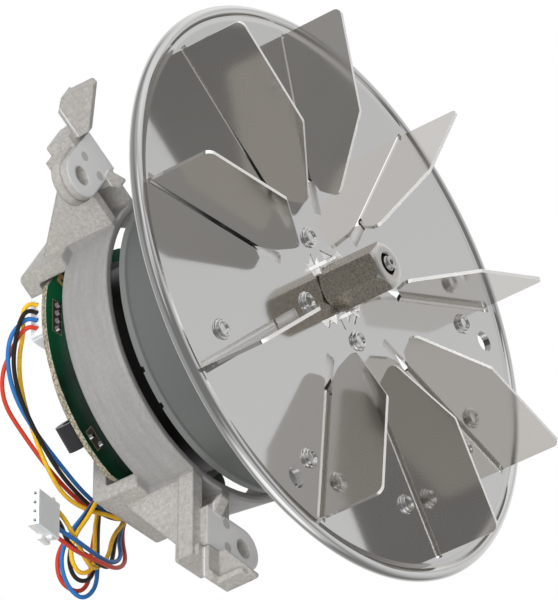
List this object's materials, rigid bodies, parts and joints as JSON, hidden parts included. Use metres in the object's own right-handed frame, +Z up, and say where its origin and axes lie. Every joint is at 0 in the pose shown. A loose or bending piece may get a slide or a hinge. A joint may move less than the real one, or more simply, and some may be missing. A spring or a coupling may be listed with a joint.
{
  "type": "fan motor",
  "caption": "Outer-rotor fan motor with a straight-bladed sheet steel impeller, a cast three-arm mounting frame, a drive board and a wired plug.",
  "frame": {"origin": "on the shaft axis, in the plane of the machined faces of the three mounting pads", "axes": "-Y along the shaft towards the impeller's nut, +Z up, +X through one mounting hole"},
  "size_m": [0.166, 0.1156, 0.166],
  "materials": {
    "stainless_sheet": "polished stainless sheet",
    "nickel_steel": "dull nickel plate",
    "ground_steel": "ground",
    "spring_steel": "dark spring steel",
    "core_steel": "stacked sheet edges",
    "painted_bell": "satin blue-grey",
    "cast_aluminium": "as cast, machined at the ring and pads",
    "ferrite": "dark ceramic",
    "black_plastic": "satin",
    "grey_plastic": "satin",
    "winding": "enamelled copper wire",
    "board": "green mask on woven glass board",
    "solder": "bright",
    "yellow_pvc": "soft insulation",
    "black_pvc": "soft insulation",
    "blue_pvc": "soft insulation",
    "red_pvc": "soft insulation",
    "tin": "tinned",
    "white_nylon": "natural nylon"
  },
  "bodies": {
    "motor_body": {"motor_frame": "cast_aluminium", "front_bearing_outer_race": "ground_steel", "front_bearing_balls": "ground_steel", "rear_bearing_outer_race": "ground_steel", "rear_bearing_balls": "ground_steel", "stator_core": "core_steel", "front_insulator": "black_plastic", "rear_insulator": "black_plastic", "coils": "winding", "stator_carrier": "black_plastic", "board_ring": "grey_plastic", "circuit_board": "board", "solder_joints": "solder", "board_header": "white_nylon", "header_pins": "tin", "board_plug": "white_nylon", "choke": "ferrite", "choke_leads": "tin", "wire_yellow": "yellow_pvc", "wire_black": "black_pvc", "wire_blue": "blue_pvc", "wire_red": "red_pvc", "connector_housing": "white_nylon", "connector_terminals": "tin"},
    "rotor": {"impeller_disc": "stainless_sheet", "blade_spider": "stainless_sheet", "hub_nut": "nickel_steel", "shaft": "ground_steel", "impeller_seat": "ground_steel", "rotor_bell": "painted_bell", "magnets": "ferrite", "rotor_hub": "cast_aluminium", "front_bearing_inner_race": "ground_steel", "rear_bearing_inner_race": "ground_steel", "retaining_ring": "spring_steel"}
  },
  "joints": [
    {"name": "rotor_spin", "type": "hinge", "parent": "motor_body", "child": "rotor", "pos_m": [0, 0, 0], "axis": [0, -1, 0], "continuous": true}
  ]
}
